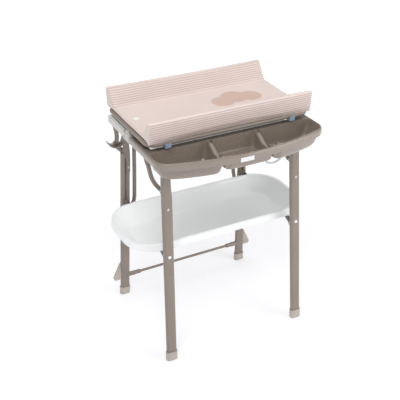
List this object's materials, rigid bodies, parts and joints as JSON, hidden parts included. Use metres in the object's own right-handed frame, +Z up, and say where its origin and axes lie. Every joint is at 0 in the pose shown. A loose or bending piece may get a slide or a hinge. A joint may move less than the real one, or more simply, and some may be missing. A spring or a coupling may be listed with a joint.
{
  "type": "changing table",
  "caption": "Folding changing table: padded mat over a bath tub, bowed tool caddy with pockets, drain hose, storage tray and splayed tube legs.",
  "frame": {"origin": "on the floor, under the middle of the overall width and depth", "axes": "+X to the right as the user faces the table, +Y towards the back, +Z up"},
  "size_m": [0.8, 0.61, 1.0303],
  "materials": {
    "frame_taupe": "satin powder coat",
    "caddy_taupe": "semi-gloss moulding",
    "rail_grey": "satin",
    "block_grey": "fine texture",
    "white_plastic": "semi-gloss moulding",
    "foot_taupe": "matt",
    "pin_steel": "plain",
    "dark_bracket": "matt",
    "clip_blue": "matt",
    "hose_clear": "translucent",
    "mat_cover": "printed, fine weave",
    "mat_base": "covered hardboard",
    "mat_tube": "satin"
  },
  "bodies": {
    "rear_frame": {"rear_leg_left": "frame_taupe", "rear_leg_right": "frame_taupe", "rear_outer_tubes": "frame_taupe", "rear_inner_tubes": "frame_taupe", "rear_hoop": "frame_taupe", "rear_crossbar": "frame_taupe", "crossbar_sleeves": "caddy_taupe", "leg_fins": "caddy_taupe", "rear_feet": "foot_taupe", "pivot_brackets": "frame_taupe", "gusset_plates": "frame_taupe", "pivot_pins": "pin_steel", "shelf_clevises": "dark_bracket", "shelf_pins": "pin_steel", "rear_rivets": "pin_steel"},
    "top_frame": {"side_rails": "rail_grey", "rear_rail": "frame_taupe", "rail_lugs": "frame_taupe", "latch_blocks": "block_grey", "brace_tubes": "frame_taupe", "caddy": "caddy_taupe", "tub": "white_plastic", "drain_fitting": "white_plastic", "drain_plug": "clip_blue", "drain_hose": "hose_clear", "hose_clip": "clip_blue", "mat_hinge_brackets": "frame_taupe", "mat_hinge_pins": "pin_steel"},
    "front_legs": {"front_leg_left": "frame_taupe", "front_leg_right": "frame_taupe", "front_feet": "foot_taupe", "top_clevises": "frame_taupe", "top_clevis_pins": "pin_steel", "low_clevises": "dark_bracket", "low_clevis_pins": "pin_steel", "front_rivets": "pin_steel", "rivet_caps": "white_plastic", "foot_screws": "pin_steel"},
    "shelf": {"tray": "white_plastic", "tray_lugs": "dark_bracket"},
    "changing_mat": {"mat_pad": "mat_cover", "mat_board": "mat_base", "mat_frame": "mat_tube", "mat_clips": "clip_blue", "mat_knuckles": "mat_tube"}
  },
  "joints": [
    {"name": "fold", "type": "hinge", "parent": "rear_frame", "child": "top_frame", "pos_m": [0, 0.257, 0.776], "axis": [-1, 0, 0], "range_deg": [0, 62]},
    {"name": "front_leg_swing", "type": "hinge", "parent": "top_frame", "child": "front_legs", "pos_m": [0, -0.131, 0.74], "axis": [1, 0, 0], "range_deg": [0, 62]},
    {"name": "shelf_swing", "type": "hinge", "parent": "rear_frame", "child": "shelf", "pos_m": [0, 0.235, 0.49], "axis": [-1, 0, 0], "range_deg": [0, 62]},
    {"name": "mat_lift", "type": "hinge", "parent": "top_frame", "child": "changing_mat", "pos_m": [0, 0.267, 0.916], "axis": [-1, 0, 0], "range_deg": [0, 95]}
  ],
  "couplings": [
    {"joint": "front_leg_swing", "follows": "fold", "ratio": 1},
    {"joint": "shelf_swing", "follows": "fold", "ratio": 1}
  ]
}
